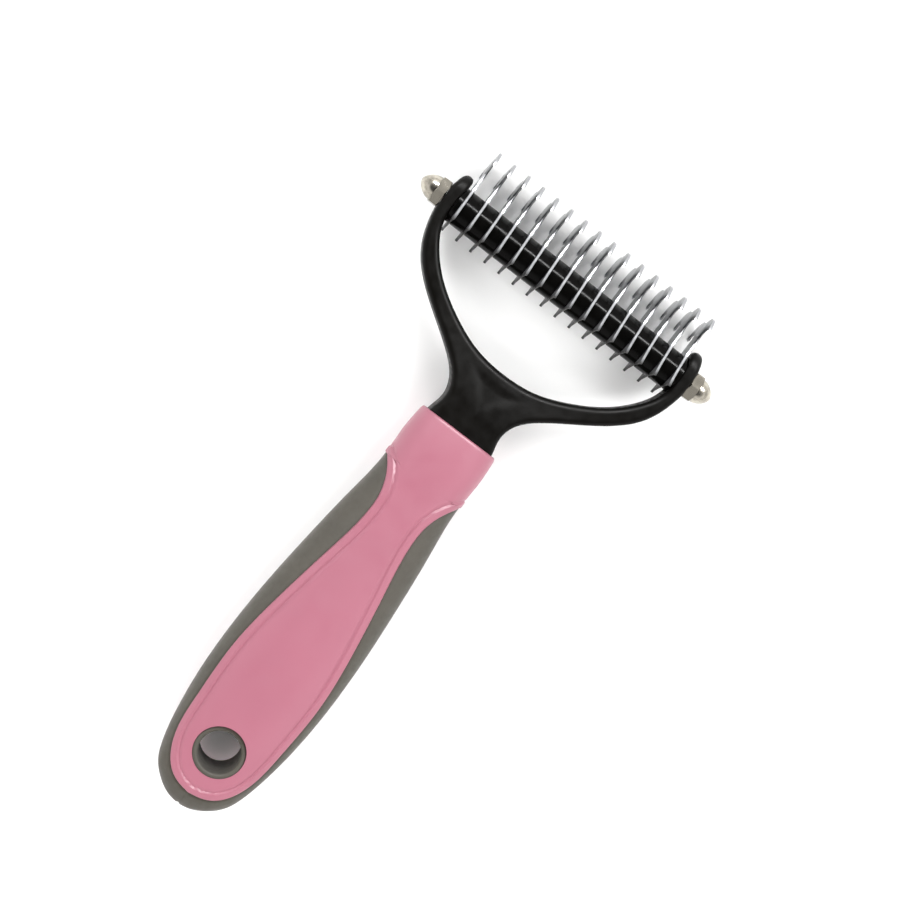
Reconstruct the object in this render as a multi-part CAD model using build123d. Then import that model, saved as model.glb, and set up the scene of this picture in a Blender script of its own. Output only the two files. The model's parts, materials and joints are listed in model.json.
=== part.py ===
"""A dematting comb: a fork-shaped yoke carries a row of hooked steel blades on an axle.

Millimetres, +Z up. +X runs along the axle, +Y points from the handle to the blades and +Z leaves the
comb's front face. The comb lies on its back: the origin is under the middle of its overall box.
Each piece is drawn about the axle's centre and moved into place when it is written.
"""
from build123d import *
import os
from math import cos, pi, sin

# ---- overall places, measured from the axle's centre line ----
HANDLE_END = 175.8  # end of the handle, towards -Y
HANDLE_HALF_THICKNESS = 11.0  # at the thickest station of the grip

# ---- blade pack ----
BLADE_COUNT = 16
BLADE_PITCH = 4.9
BLADE_THICKNESS = 0.8
BLADE_LEAN = 10.0  # degrees that the front hooks are turned up towards +Y
SPACER_RADIUS = 5.35
SPACER_LENGTH = BLADE_PITCH - BLADE_THICKNESS
PACK_HALF_LENGTH = (BLADE_COUNT - 1) * BLADE_PITCH / 2 + BLADE_THICKNESS / 2
END_COLLAR_LENGTH = 1.5
KEYED_HALF_LENGTH = PACK_HALF_LENGTH + END_COLLAR_LENGTH

# ---- one blade's outline before it leans: z across the blade, y towards its hooks ----
NECK_Z = 3.8
NECK_FOOT_Y = 5.2
NECK_HEAD_Y = 10.6
SPUR = (9.2, -6.0)  # lower pointed corner
SPUR_FLANK = (6.0, -0.6)  # on the hollow edge between spur and neck
LOWER_EDGE_Y = -5.3  # middle of the hollow lower edge
HOOK_TIP = (10.0, 12.0)
HOOK_HOLLOW = (6.4, 13.4)  # on the sharpened inside of the hook
HOOK_BACK = (7.8, 16.2)  # on the outside of the hook
HORN = (3.4, 17.6)
TOP_NOTCH_Y = 16.7
HORN_ROUNDING = 0.7

# ---- axle: an M5 rod with two flats along the pack ----
AXLE_RADIUS = 2.5
AXLE_FLAT = 2.0  # from the axle's centre to each flat
AXLE_HALF_LENGTH = 46.6
KEYED_CLEARANCE = 0.05
BEARING_CLEARANCE = 0.07

# ---- cap nuts ----
NUT_SEAT_X = 42.2
NUT_ACROSS_FLATS = 7.7
NUT_HEX_HEIGHT = 2.9
NUT_TIP_X = 49.7
NUT_DOME_RADIUS = 3.6
NUT_BORE_END_X = 47.0
NUT_CHAMFER_RADIUS = 4.25

# ---- yoke ----
ARM_INNER_X = 38.75  # arm faces at the axle
ARM_OUTER_X = 42.1
ARM_TOP_Y = 8.3
ARM_HALF_DEPTH = 5.0
NECK_HALF_DEPTH = 6.4
COLLAR_Y = -48.5  # the handle's mouth
NECK_END_Y = COLLAR_Y - 4.0
TANG_HALF_WIDTH = 7.0
TANG_HALF_DEPTH = 4.2
TANG_END_Y = -80.0
BOSS_FACE_RADIUS = 5.8
NUT_FACE_RADIUS = 5.0
YOKE_OUTSIDE = [
    (40.9, ARM_TOP_Y), (42.45, 0), (41.7, -6.5), (38.5, -15), (29.5, -24), (16.2, -33),
    (10.5, -39), (9.5, -43.5), (10.5, COLLAR_Y), (10.6, NECK_END_Y),
]
YOKE_INSIDE = [(37.9, ARM_TOP_Y), (38.35, 0), (37.9, -6.5), (35, -12), (29.3, -18), (19.8, -24), (10.4, -27.7)]
YOKE_APEX_Y = -28.9

# ---- handle: stations of (distance below the axle, half width, half thickness) ----
HANDLE_STATIONS = [
    (48.5, 12.3, 9.5), (57, 12.85, 9.9), (65, 12.55, 9.5), (80, 14.0, 9.2), (96, 15.75, 9.9),
    (114, 17.2, 10.8), (130, 17.65, HANDLE_HALF_THICKNESS), (144, 17.05, 10.6), (156, 15.5, 9.8),
    (164, 13.7, 8.8), (169, 11.6, 7.4), (172.5, 8.3, 5.4), (174.8, 4.6, 3.1), (HANDLE_END, 1.2, 0.8),
]
SECTION_SQUARENESS = 2.5  # 2 would make each section an ellipse
SECTION_POINTS = 24
GRIP_WALL = 2.4  # soft layer at the sides
CORE_COVER = 1.6  # core under the panels where they run past the soft layer
GRIP_TOP_Y = -60.0
PANEL_EDGE = [
    (14.2, -62.6), (10.4, -68), (7.9, -74.5), (7.6, -80.5), (9.6, -94.5), (12.65, -112),
    (14.7, -131), (14.1, -148), (11.9, -161.5), (7.0, -168.4),
]
PANEL_END_Y = -170.5
SOCKET_CLEARANCE = 0.05

# ---- hanging hole with its soft ring ----
HOLE_Y = -156.4
HOLE_RADIUS = 5.85
EYELET_RADIUS = 7.4
EYELET_HALF_LENGTH = 9.2
EYELET_ROUNDING = 0.8


def cylinder_x(radius, start, end):
    """A round bar along X from start to end."""
    bar = Cylinder(radius, end - start, align=(Align.CENTER, Align.CENTER, Align.MIN))
    return Location((start, 0, 0)) * Rotation(0, 90, 0) * bar


def keyed_bar(radius, flat, half_length):
    """A round bar along X with a flat on its +Y and its -Y side."""
    return cylinder_x(radius, -half_length, half_length) & Box(2 * half_length, 2 * flat, 2 * radius)


def mirrored(points):
    """The same points on the other side of the middle, in reverse order."""
    return [(-x, y) for x, y in reversed(points)]


def make_axle():
    """Rod with flats between the arms and round, threaded ends outside them."""
    ends = cylinder_x(AXLE_RADIUS, -AXLE_HALF_LENGTH, AXLE_HALF_LENGTH)
    ends -= cylinder_x(2 * AXLE_RADIUS, -KEYED_HALF_LENGTH, KEYED_HALF_LENGTH)
    return ends + keyed_bar(AXLE_RADIUS, AXLE_FLAT, KEYED_HALF_LENGTH)


def keyed_hole(half_length):
    """What a blade, spacer or collar leaves free for the axle."""
    return keyed_bar(AXLE_RADIUS + KEYED_CLEARANCE, AXLE_FLAT + KEYED_CLEARANCE, half_length)


def blade_outline():
    """Anchor-shaped outline: two hooks at the top, two spurs at the bottom."""
    spur_left = (-SPUR[0], SPUR[1])
    half = [
        ThreePointArc(SPUR, SPUR_FLANK, (NECK_Z, NECK_FOOT_Y)),
        Line((NECK_Z, NECK_FOOT_Y), (NECK_Z, NECK_HEAD_Y)),
        ThreePointArc((NECK_Z, NECK_HEAD_Y), HOOK_HOLLOW, HOOK_TIP),
        ThreePointArc(HOOK_TIP, HOOK_BACK, HORN),
    ]
    other_half = [edge.mirror(Plane.YZ) for edge in half]
    bottom = ThreePointArc(spur_left, (0, LOWER_EDGE_Y), SPUR)
    notch = ThreePointArc(HORN, (0, TOP_NOTCH_Y), (-HORN[0], HORN[1]))
    face = make_face([bottom, *half, notch, *other_half])
    horns = [v for v in face.vertices() if v.Y > HORN[1] - 0.01]
    return fillet(horns, HORN_ROUNDING)


def make_blade():
    """One blade, centred on X = 0, with the keyed hole for the axle."""
    across = Plane(origin=(-BLADE_THICKNESS / 2, 0, 0), x_dir=(0, 0, 1), z_dir=(1, 0, 0))
    outline = Rotation(0, 0, 180) * blade_outline()
    plate = extrude(across * outline, BLADE_THICKNESS)
    return Rotation(-BLADE_LEAN, 0, 0) * plate - keyed_hole(BLADE_THICKNESS)


def make_spacer(length):
    """A short tube on the axle, centred on X = 0."""
    return cylinder_x(SPACER_RADIUS, -length / 2, length / 2) - keyed_hole(length)


def make_cap_nut():
    """Domed nut on the axle's +X end, drawn in place with a blind hole."""
    hexagon = RegularPolygon(NUT_ACROSS_FLATS / 2, 6, major_radius=False)
    hex_body = extrude(Plane.YZ.offset(NUT_SEAT_X) * hexagon, NUT_HEX_HEIGHT)
    dome_start = NUT_SEAT_X + NUT_HEX_HEIGHT
    dome_length = NUT_TIP_X - dome_start
    profile = make_face([
        Line((dome_start - NUT_HEX_HEIGHT, 0), (dome_start - NUT_HEX_HEIGHT, NUT_DOME_RADIUS)),
        Line((dome_start - NUT_HEX_HEIGHT, NUT_DOME_RADIUS), (dome_start, NUT_DOME_RADIUS)),
        Spline([(dome_start, NUT_DOME_RADIUS), (dome_start + 0.62 * dome_length, 0.8 * NUT_DOME_RADIUS),
                (NUT_TIP_X, 0)], tangents=[(1, 0), (0, -1)]),
        Line((NUT_TIP_X, 0), (dome_start - NUT_HEX_HEIGHT, 0)),
    ])
    dome = revolve(profile, Axis.X)
    hex_body &= chamfer(cylinder_x(NUT_CHAMFER_RADIUS, NUT_SEAT_X, dome_start).edges(), 0.35)
    bore = cylinder_x(AXLE_RADIUS + BEARING_CLEARANCE, 0, NUT_BORE_END_X)
    return hex_body + dome - bore


def yoke_outline():
    """The fork seen from the front, down to where its neck ends inside the handle's mouth."""
    outside = Spline(YOKE_OUTSIDE)
    inside = Spline(mirrored(YOKE_INSIDE[::-1]) + [(0, YOKE_APEX_Y)] + YOKE_INSIDE[::-1])
    tab = Line(YOKE_INSIDE[0], YOKE_OUTSIDE[0])
    foot = Line(YOKE_OUTSIDE[-1], (-YOKE_OUTSIDE[-1][0], NECK_END_Y))
    return make_face([inside, tab, outside, foot, outside.mirror(Plane.YZ), tab.mirror(Plane.YZ)])


def yoke_side_profile():
    """The fork seen along X: round arm ends and a thicker neck."""
    top_centre = ARM_TOP_Y - ARM_HALF_DEPTH
    front = Spline([(top_centre, ARM_HALF_DEPTH), (YOKE_APEX_Y + 6, ARM_HALF_DEPTH),
                    (COLLAR_Y + 7, NECK_HALF_DEPTH), (NECK_END_Y, NECK_HALF_DEPTH)],
                   tangents=[(-1, 0), (-1, 0)])
    back = front.mirror(Plane.XZ)
    arm_end = ThreePointArc((top_centre, ARM_HALF_DEPTH), (ARM_TOP_Y, 0), (top_centre, -ARM_HALF_DEPTH))
    foot = Line((NECK_END_Y, NECK_HALF_DEPTH), (NECK_END_Y, -NECK_HALF_DEPTH))
    return make_face([arm_end, front, foot, back])


def make_yoke():
    """Fork with a bearing hole in each arm and a tang inside the handle."""
    plan = extrude(yoke_outline(), NECK_HALF_DEPTH, both=True)
    side_plane = Plane(origin=(0, 0, 0), x_dir=(0, 1, 0), z_dir=(1, 0, 0))
    side = extrude(side_plane * yoke_side_profile(), 2 * ARM_OUTER_X, both=True)
    yoke = plan & side
    boss = cylinder_x(BOSS_FACE_RADIUS, -ARM_INNER_X, ARM_INNER_X)
    seats = cylinder_x(NUT_FACE_RADIUS, ARM_OUTER_X, NUT_TIP_X)
    bore = cylinder_x(AXLE_RADIUS + BEARING_CLEARANCE, -NUT_TIP_X, NUT_TIP_X)
    tang_length = NECK_END_Y - TANG_END_Y
    tang = Box(2 * TANG_HALF_WIDTH, tang_length, 2 * TANG_HALF_DEPTH,
               align=(Align.CENTER, Align.MIN, Align.CENTER))
    yoke += Location((0, TANG_END_Y, 0)) * tang
    return yoke - boss - seats - seats.mirror(Plane.YZ) - bore


def section(below, half_width, half_thickness):
    """One closed cross-section of the handle, between an ellipse and a rectangle."""
    power = 2 / SECTION_SQUARENESS
    ring = []
    for step in range(SECTION_POINTS):
        angle = 2 * pi * step / SECTION_POINTS
        across = half_width * abs(cos(angle)) ** power * (1 if cos(angle) >= 0 else -1)
        up = half_thickness * abs(sin(angle)) ** power * (1 if sin(angle) >= 0 else -1)
        ring.append((across, up))
    plane = Plane(origin=(0, -below, 0), x_dir=(1, 0, 0), z_dir=(0, -1, 0))
    return plane * make_face(Spline(ring, periodic=True))


def handle_body(inset_x=0.0, inset_z=0.0):
    """The whole handle, or a smaller one inside it."""
    sections = []
    for below, half_width, half_thickness in HANDLE_STATIONS:
        if half_width > 3 * inset_x and half_thickness > 3 * inset_z:
            sections.append(section(below, half_width - inset_x, half_thickness - inset_z))
    return loft(sections)


def panel_prism():
    """Everything in front of and behind the hard panel, collar included."""
    reach = 2 * PANEL_EDGE[0][0]
    edge = Spline(PANEL_EDGE + [(0, PANEL_END_Y)] + mirrored(PANEL_EDGE))
    top = Polyline((-PANEL_EDGE[0][0], PANEL_EDGE[0][1]), (-reach, GRIP_TOP_Y), (-reach, 0),
                   (reach, 0), (reach, GRIP_TOP_Y), PANEL_EDGE[0])
    return extrude(make_face([edge, *top.edges()]), reach, both=True)


def eyelet_hole():
    """The round space that the soft ring fills."""
    return Location((0, HOLE_Y, 0)) * Cylinder(EYELET_RADIUS, 4 * EYELET_HALF_LENGTH)


def yoke_socket():
    """Room for the yoke's neck and tang inside the collar."""
    gap = SOCKET_CLEARANCE
    mouth = Box(2 * (YOKE_OUTSIDE[-1][0] + gap), COLLAR_Y - NECK_END_Y + gap, 2 * (NECK_HALF_DEPTH + gap),
                align=(Align.CENTER, Align.MAX, Align.CENTER))
    slot = Box(2 * (TANG_HALF_WIDTH + gap), COLLAR_Y - TANG_END_Y + gap, 2 * (TANG_HALF_DEPTH + gap),
               align=(Align.CENTER, Align.MAX, Align.CENTER))
    return Location((0, COLLAR_Y, 0)) * (mouth + slot)


def make_handle_core(whole):
    """Hard core: the collar, the front and back panels, and the body under the soft layer."""
    core = (whole & panel_prism()) + handle_body(GRIP_WALL, CORE_COVER)
    return core - eyelet_hole() - yoke_socket()


def make_soft_grip(whole):
    """Soft layer along both sides and round the end of the handle."""
    below_collar = Location((0, GRIP_TOP_Y, 0)) * Box(
        2 * HANDLE_END, HANDLE_END, 2 * HANDLE_END, align=(Align.CENTER, Align.MAX, Align.CENTER))
    return (whole & below_collar) - panel_prism() - handle_body(GRIP_WALL, CORE_COVER)


def make_eyelet():
    """Soft ring that lines the hanging hole."""
    ring = Cylinder(EYELET_RADIUS, 2 * EYELET_HALF_LENGTH) - Cylinder(HOLE_RADIUS, 2 * EYELET_HALF_LENGTH)
    rims = ring.edges().filter_by(GeomType.CIRCLE).filter_by(lambda e: abs(e.radius - HOLE_RADIUS) < 0.01)
    return Location((0, HOLE_Y, 0)) * fillet(rims, EYELET_ROUNDING)


def row_of_blades():
    """The blades, the spacers between them and the collars at both ends, by node name."""
    blade = make_blade()
    spacer = make_spacer(SPACER_LENGTH)
    collar = make_spacer(END_COLLAR_LENGTH)
    first = -(BLADE_COUNT - 1) * BLADE_PITCH / 2
    collar_x = PACK_HALF_LENGTH + END_COLLAR_LENGTH / 2
    row = {}
    for number in range(BLADE_COUNT):
        row[f"blade_{number + 1:02d}"] = Location((first + number * BLADE_PITCH, 0, 0)) * blade
    for number in range(BLADE_COUNT - 1):
        row[f"spacer_{number + 1:02d}"] = Location((first + (number + 0.5) * BLADE_PITCH, 0, 0)) * spacer
    row["end_collar_left"] = Location((-collar_x, 0, 0)) * collar
    row["end_collar_right"] = Location((collar_x, 0, 0)) * collar
    return row


def main():
    os.makedirs("parts", exist_ok=True)
    whole = handle_body()
    nut = make_cap_nut()
    pieces = {
        "handle_core": make_handle_core(whole),
        "soft_grip": make_soft_grip(whole),
        "hang_eyelet": make_eyelet(),
        "yoke": make_yoke(),
        "axle_rod": make_axle(),
        "cap_nut_right": nut,
        "cap_nut_left": nut.mirror(Plane.YZ),
        **row_of_blades(),
    }
    blade_top = pieces["blade_01"].bounding_box().max.Y
    axle_place = Location((0, (HANDLE_END - blade_top) / 2, HANDLE_HALF_THICKNESS))
    print("axle at", axle_place.position, "blade top", blade_top)
    for node, shape in pieces.items():
        export_step(axle_place * shape, f"parts/{node}.step")


main()
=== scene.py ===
import json
from math import cos, hypot, pi, radians, sin, sqrt

import bmesh
import bpy
import numpy as np
from mathutils import Matrix, Vector
from mathutils.geometry import delaunay_2d_cdt


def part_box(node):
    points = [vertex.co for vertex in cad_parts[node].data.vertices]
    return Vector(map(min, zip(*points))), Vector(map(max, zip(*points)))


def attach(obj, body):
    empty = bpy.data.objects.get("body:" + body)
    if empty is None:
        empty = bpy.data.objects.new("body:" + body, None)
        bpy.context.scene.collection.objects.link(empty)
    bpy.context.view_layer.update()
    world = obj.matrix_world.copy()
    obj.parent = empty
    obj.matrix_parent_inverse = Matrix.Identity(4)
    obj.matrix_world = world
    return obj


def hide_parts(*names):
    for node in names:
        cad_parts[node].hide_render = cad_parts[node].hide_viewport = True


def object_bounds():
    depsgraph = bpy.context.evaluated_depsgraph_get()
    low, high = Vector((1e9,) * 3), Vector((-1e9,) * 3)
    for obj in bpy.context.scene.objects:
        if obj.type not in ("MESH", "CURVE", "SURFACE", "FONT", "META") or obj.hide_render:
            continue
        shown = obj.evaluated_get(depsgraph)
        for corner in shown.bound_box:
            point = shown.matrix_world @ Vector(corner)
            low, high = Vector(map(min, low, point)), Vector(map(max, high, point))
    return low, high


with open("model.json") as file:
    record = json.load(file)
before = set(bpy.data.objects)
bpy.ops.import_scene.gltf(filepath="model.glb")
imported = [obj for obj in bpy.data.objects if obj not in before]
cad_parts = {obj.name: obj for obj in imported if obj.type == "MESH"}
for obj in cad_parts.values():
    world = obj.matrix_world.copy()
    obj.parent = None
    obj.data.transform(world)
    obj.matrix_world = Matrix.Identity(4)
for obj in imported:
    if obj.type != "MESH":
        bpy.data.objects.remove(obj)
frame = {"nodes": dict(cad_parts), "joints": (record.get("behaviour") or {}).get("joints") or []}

CAD_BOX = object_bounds()

# Shapes are drawn in millimetres about the axle's centre, as part.py draws them:
# x along the axle, y towards the blades, z out of the comb's front face.
MM = 0.001
PACK_JOINT = next(joint for joint in frame["joints"] if joint["name"] == "pack_turn")
AXLE = Vector(PACK_JOINT["pos_m"])
PACK = "blade_pack"
HANDLE = "handle"

# ---- sizes repeated from the CAD model ----
HANDLE_END = (AXLE.y - CAD_BOX[0].y) / MM
BLADE_THICKNESS = 0.8
SPACER_RADIUS = 5.35
AXLE_HOLE_RADIUS = 2.55
YOKE_BORE_RADIUS = 2.57
NUT_SEAT_X = 42.2
NUT_ACROSS_FLATS = 7.7
NUT_HEX_HEIGHT = 2.9
NUT_TIP_X = (CAD_BOX[1].x - AXLE.x) / MM
NUT_DOME_RADIUS = 3.6
NUT_BORE_END_X = 47.0
ARM_INNER_X = 38.75
ARM_OUTER_X = 42.1
ARM_TOP_Y = 8.3
ARM_HALF_DEPTH = 5.0
NECK_HALF_DEPTH = 6.4
COLLAR_Y = -48.5
NECK_END_Y = -52.5
BOSS_FACE_RADIUS = 5.8
NUT_FACE_RADIUS = 5.0
HOLE_Y = -156.4
HOLE_RADIUS = 5.85
EYELET_RADIUS = 7.4
EYELET_HALF_LENGTH = 9.2
# Right half of the fork's outline, as (x, y), from the arm's end down
YOKE_OUTSIDE = [
    (40.9, ARM_TOP_Y), (42.45, 0), (41.7, -6.5), (38.5, -15), (29.5, -24), (16.2, -33),
    (10.5, -39), (9.5, -43.5), (10.5, COLLAR_Y), (10.6, NECK_END_Y),
]
YOKE_INSIDE = [
    (37.9, ARM_TOP_Y), (38.35, 0), (37.9, -6.5), (35, -12), (29.3, -18), (19.8, -24), (10.4, -27.7),
]
YOKE_APEX = (0, -28.9)
# (distance below the axle, half width, half thickness)
HANDLE_STATIONS = [
    (48.5, 12.3, 9.5), (57, 12.85, 9.9), (65, 12.55, 9.5), (80, 14.0, 9.2), (96, 15.75, 9.9),
    (114, 17.2, 10.8), (130, 17.65, 11.0), (144, 17.05, 10.6), (156, 15.5, 9.8),
    (164, 13.7, 8.8), (169, 11.6, 7.4), (172.5, 8.3, 5.4), (174.8, 4.6, 3.1), (HANDLE_END, 0, 0),
]
# (half width of the hard panel, distance below the axle)
PANEL_EDGE = [
    (14.2, 62.6), (10.4, 68), (7.9, 74.5), (7.6, 80.5), (9.6, 94.5), (12.65, 112),
    (14.7, 131), (14.1, 148), (11.9, 161.5), (7.0, 168.4),
]
PANEL_END = 170.5
SECTION_SQUARENESS = 2.5


# ------------------------------------------------------------------ shape helpers
MERGE_DISTANCE = 0.004
FINE_MERGE_DISTANCE = 0.002
CRISP_ANGLE = 35
BLOCK = 4000           # points measured at a time, to save memory


def spline_through(points, count):
    """A natural cubic spline through the points, as count samples evenly spaced in its parameter."""
    points = np.array(points, float)
    steps = np.linalg.norm(np.diff(points, axis=0), axis=1)
    knots = np.concatenate([[0], np.cumsum(steps)])
    size = len(points)
    system = np.eye(size)
    right = np.zeros_like(points)
    for i in range(1, size - 1):
        before, after = steps[i - 1], steps[i]
        system[i, i - 1:i + 2] = before, 2 * (before + after), after
        right[i] = 6 * ((points[i + 1] - points[i]) / after - (points[i] - points[i - 1]) / before)
    bend = np.linalg.solve(system, right)
    places = np.linspace(0, knots[-1], count)
    span = np.clip(np.searchsorted(knots, places, side="right") - 1, 0, size - 2)
    step = steps[span][:, None]
    back = (knots[span + 1] - places)[:, None]
    on = (places - knots[span])[:, None]
    return (bend[span] * back ** 3 / (6 * step) + bend[span + 1] * on ** 3 / (6 * step)
            + (points[span] / step - bend[span] * step / 6) * back
            + (points[span + 1] / step - bend[span + 1] * step / 6) * on)


def resample(line, count, weight=None):
    """The same line as count points, evenly spaced, or spaced by weight: places from 0 to 1."""
    line = np.asarray(line)
    length = np.concatenate([[0], np.cumsum(np.linalg.norm(np.diff(line, axis=0), axis=1))])
    places = (np.linspace(0, 1, count) if weight is None else np.asarray(weight)) * length[-1]
    return np.stack([np.interp(places, length, line[:, k]) for k in range(line.shape[1])], axis=1)


def smooth_step(value, low, high):
    """0 below low, 1 above high, and smooth between."""
    t = np.clip((value - low) / (high - low), 0, 1)
    return t * t * (3 - 2 * t)


def distance_to(points, line):
    """The distance from each point to the nearest point of a finely sampled line."""
    nearest = np.full(len(points), np.inf)
    for start in range(0, len(points), BLOCK):
        block = points[start:start + BLOCK]
        gaps = np.linalg.norm(block[:, None, :] - line[None, :, :], axis=2)
        nearest[start:start + BLOCK] = gaps.min(axis=1)
    return nearest


def make_object(name, points, faces, sharp_angle=CRISP_ANGLE, merge=MERGE_DISTANCE):
    """A smooth mesh object from points in millimetres about the axle."""
    mesh = bpy.data.meshes.new(name)
    mesh.from_pydata([tuple(AXLE + Vector(p) * MM) for p in points], [], [tuple(f) for f in faces])
    work = bmesh.new()
    work.from_mesh(mesh)
    bmesh.ops.remove_doubles(work, verts=work.verts, dist=merge * MM)
    bmesh.ops.dissolve_degenerate(work, edges=work.edges, dist=merge * MM / 4)
    bmesh.ops.recalc_face_normals(work, faces=work.faces)
    work.to_mesh(mesh)
    work.free()
    piece = bpy.data.objects.new(name, mesh)
    bpy.context.scene.collection.objects.link(piece)
    smooth(piece, sharp_angle)
    return piece


def smooth(piece, sharp_angle):
    """Smooth shading, with edges sharper than the angle kept crisp."""
    piece.data.polygons.foreach_set("use_smooth", [True] * len(piece.data.polygons))
    piece.data.set_sharp_from_angle(angle=radians(sharp_angle))


def grid_faces(rows, columns, wrap):
    """Quads of a grid of points, closed round its rows if wrap is true."""
    faces = []
    for i in range(rows - 1):
        here, there = i * columns, (i + 1) * columns
        for j in range(columns if wrap else columns - 1):
            k = (j + 1) % columns
            faces.append((here + j, here + k, there + k, there + j))
    return faces


def turned(name, profile, sides, sharp_angle, outline=None):
    """A profile of (x, radius) points turned about the x axis; outline may change a radius at an angle."""
    points = []
    for x, radius in profile:
        for k in range(sides):
            angle = 2 * pi * k / sides
            reach = radius if outline is None else outline(x, radius, angle)
            points.append((x, reach * cos(angle), reach * sin(angle)))
    faces = grid_faces(len(profile), sides, wrap=True)
    return make_object(name, points, faces, sharp_angle)


def cut(piece, cutter, sharp_angle=CRISP_ANGLE):
    """Cuts the cutter out of the piece and removes the cutter."""
    tool = piece.modifiers.new("cut", "BOOLEAN")
    tool.operation = "DIFFERENCE"
    tool.solver = "EXACT"
    tool.object = cutter
    bpy.context.view_layer.objects.active = piece
    bpy.ops.object.modifier_apply(modifier=tool.name)
    bpy.data.objects.remove(cutter, do_unlink=True)
    smooth(piece, sharp_angle)


def cylinder(name, radius, start, end, axis="X", sides=96, centre=(0, 0)):
    """A closed cylinder used to cut holes and seats."""
    points = []
    for place in (start, end):
        for k in range(sides):
            angle = 2 * pi * k / sides
            u, v = centre[0] + radius * cos(angle), centre[1] + radius * sin(angle)
            points.append((place, u, v) if axis == "X" else (u, v, place))
    faces = grid_faces(2, sides, wrap=True)
    faces += [tuple(range(sides)), tuple(range(2 * sides - 1, sides - 1, -1))]
    return make_object(name, points, faces)


def finish_piece(piece, body, slot, material, *nodes):
    """Gives a piece its body and material, and hides the CAD nodes it stands for; the slot argument is not
    used.
    """
    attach(piece, body)
    piece.data.materials.clear()
    piece.data.materials.append(material)
    if nodes:
        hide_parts(*nodes)
    return piece


# ------------------------------------------------------------------ materials
class Shader:
    """A small builder for one procedural material on object coordinates."""

    def __init__(self, name, colour, roughness, metallic=0.0):
        self.material = bpy.data.materials.new(name)
        self.material.use_nodes = True
        self.tree = self.material.node_tree
        self.surface = self.tree.nodes["Principled BSDF"]
        self.surface.inputs["Base Color"].default_value = (*colour, 1)
        self.surface.inputs["Roughness"].default_value = roughness
        self.surface.inputs["Metallic"].default_value = metallic
        self.place = self.node("ShaderNodeTexCoord").outputs["Object"]
        self.bumps = None

    def node(self, kind, **settings):
        made = self.tree.nodes.new(kind)
        for key, value in settings.items():
            setattr(made, key, value)
        return made

    def link(self, start, end):
        self.tree.links.new(start, end)

    def noise(self, scale, detail=3.0, stretch=(1, 1, 1)):
        """Noise from 0 to 1; scale counts features per metre."""
        mapping = self.node("ShaderNodeMapping")
        mapping.inputs["Scale"].default_value = stretch
        self.link(self.place, mapping.inputs["Vector"])
        texture = self.node("ShaderNodeTexNoise")
        texture.inputs["Scale"].default_value = scale
        texture.inputs["Detail"].default_value = detail
        self.link(mapping.outputs["Vector"], texture.inputs["Vector"])
        return texture.outputs["Fac"]

    def between(self, value, low, high, start=0.3, end=0.7):
        """Maps a value's range from start to end onto the range from low to high, and clamps it."""
        node = self.node("ShaderNodeMapRange")
        node.inputs["From Min"].default_value = start
        node.inputs["From Max"].default_value = end
        node.inputs["To Min"].default_value = low
        node.inputs["To Max"].default_value = high
        self.link(value, node.inputs["Value"])
        return node.outputs["Result"]

    def colours(self, value, first, second, start=0.3, end=0.7):
        """Colour that runs from first to second as the value rises."""
        ramp = self.node("ShaderNodeValToRGB")
        ramp.color_ramp.elements[0].position = start
        ramp.color_ramp.elements[1].position = end
        ramp.color_ramp.elements[0].color = (*first, 1)
        ramp.color_ramp.elements[1].color = (*second, 1)
        self.link(value, ramp.inputs["Fac"])
        self.link(ramp.outputs["Color"], self.surface.inputs["Base Color"])
        return ramp

    def roughness(self, value, low, high):
        self.link(self.between(value, low, high), self.surface.inputs["Roughness"])

    def bump(self, value, height_mm, strength=1.0):
        """Adds a layer of relief, height_mm deep."""
        node = self.node("ShaderNodeBump")
        node.inputs["Strength"].default_value = strength
        node.inputs["Distance"].default_value = height_mm * MM
        self.link(value, node.inputs["Height"])
        if self.bumps is not None:
            self.link(self.bumps, node.inputs["Normal"])
        self.bumps = node.outputs["Normal"]
        self.link(self.bumps, self.surface.inputs["Normal"])


def shade(colour, factor):
    """The colour, lighter or darker."""
    return tuple(min(1.0, c * factor) for c in colour)


def pink_plastic():
    """Satin moulded plastic with a faint flow pattern and a soft orange-peel surface."""
    pink = (0.325, 0.111, 0.153)
    look = Shader("pink_plastic", pink, 0.42)
    look.colours(look.noise(28, 2), shade(pink, 0.955), shade(pink, 1.03))
    look.roughness(look.noise(240, 4), 0.36, 0.48)
    look.bump(look.noise(1500, 2), 0.012)
    look.bump(look.noise(130, 2), 0.05)
    return look.material


def soft_rubber():
    """Matt grey elastomer with a fine grain."""
    grey = (0.052, 0.046, 0.035)
    look = Shader("soft_rubber", grey, 0.7)
    look.colours(look.noise(60, 4), shade(grey, 0.88), shade(grey, 1.10))
    look.roughness(look.noise(500, 3), 0.62, 0.78)
    look.bump(look.noise(2600, 3), 0.03)
    look.surface.inputs["Sheen Weight"].default_value = 0.08
    return look.material


def yoke_plastic():
    """Satin black plastic, slightly brown, with a fine spark-eroded texture."""
    black = (0.0020, 0.0017, 0.0013)
    look = Shader("yoke_plastic", black, 0.4)
    look.surface.inputs["Specular IOR Level"].default_value = 0.10
    look.colours(look.noise(50, 3), shade(black, 0.8), shade(black, 1.3))
    look.roughness(look.noise(350, 4), 0.34, 0.5)
    look.bump(look.noise(3200, 2), 0.012)
    look.bump(look.noise(110, 3), 0.06)
    return look.material


def spacer_plastic():
    """Glossy black tube, with faint turning marks round it."""
    black = (0.0020, 0.0019, 0.0017)
    look = Shader("spacer_plastic", black, 0.15)
    look.surface.inputs["Specular IOR Level"].default_value = 0.06
    look.colours(look.noise(90, 3), shade(black, 0.8), shade(black, 1.4))
    look.roughness(look.noise(700, 3), 0.10, 0.22)
    look.bump(look.noise(1800, 2, (3, 0.2, 0.2)), 0.004)
    return look.material


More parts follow.
